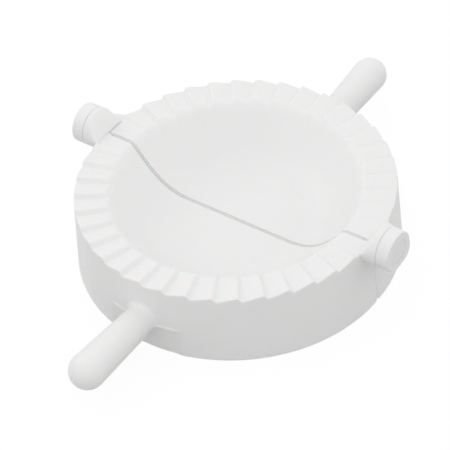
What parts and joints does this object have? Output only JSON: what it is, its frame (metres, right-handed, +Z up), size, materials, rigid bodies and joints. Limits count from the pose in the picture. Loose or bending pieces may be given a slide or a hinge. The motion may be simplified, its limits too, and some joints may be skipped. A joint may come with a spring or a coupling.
{
  "type": "empanada press",
  "caption": "Hinged hand press for filled pastries: two half bowls with a toothed crimp ring that fold shut on a pinned hinge, with a round handle on each half.",
  "frame": {"origin": "middle of the foot ring on the surface it stands on, under the middle of the hinge line, with the press open and flat", "axes": "+Z up; +X along the hinge line; +Y from the still half to the folding half, along the two handles"},
  "size_m": [0.13, 0.185, 0.0344],
  "materials": {
    "moulding": "white moulded polypropylene, satin",
    "pin": "white moulded plastic, satin"
  },
  "bodies": {
    "near": {"near_half": "moulding", "hinge_pin_right": "pin", "hinge_pin_left": "pin"},
    "far": {"far_half": "moulding"}
  },
  "joints": [
    {"name": "fold", "type": "hinge", "parent": "near", "child": "far", "pos_m": [0, 0, 0.0272], "axis": [1, 0, 0], "range_deg": [0, 180]}
  ]
}
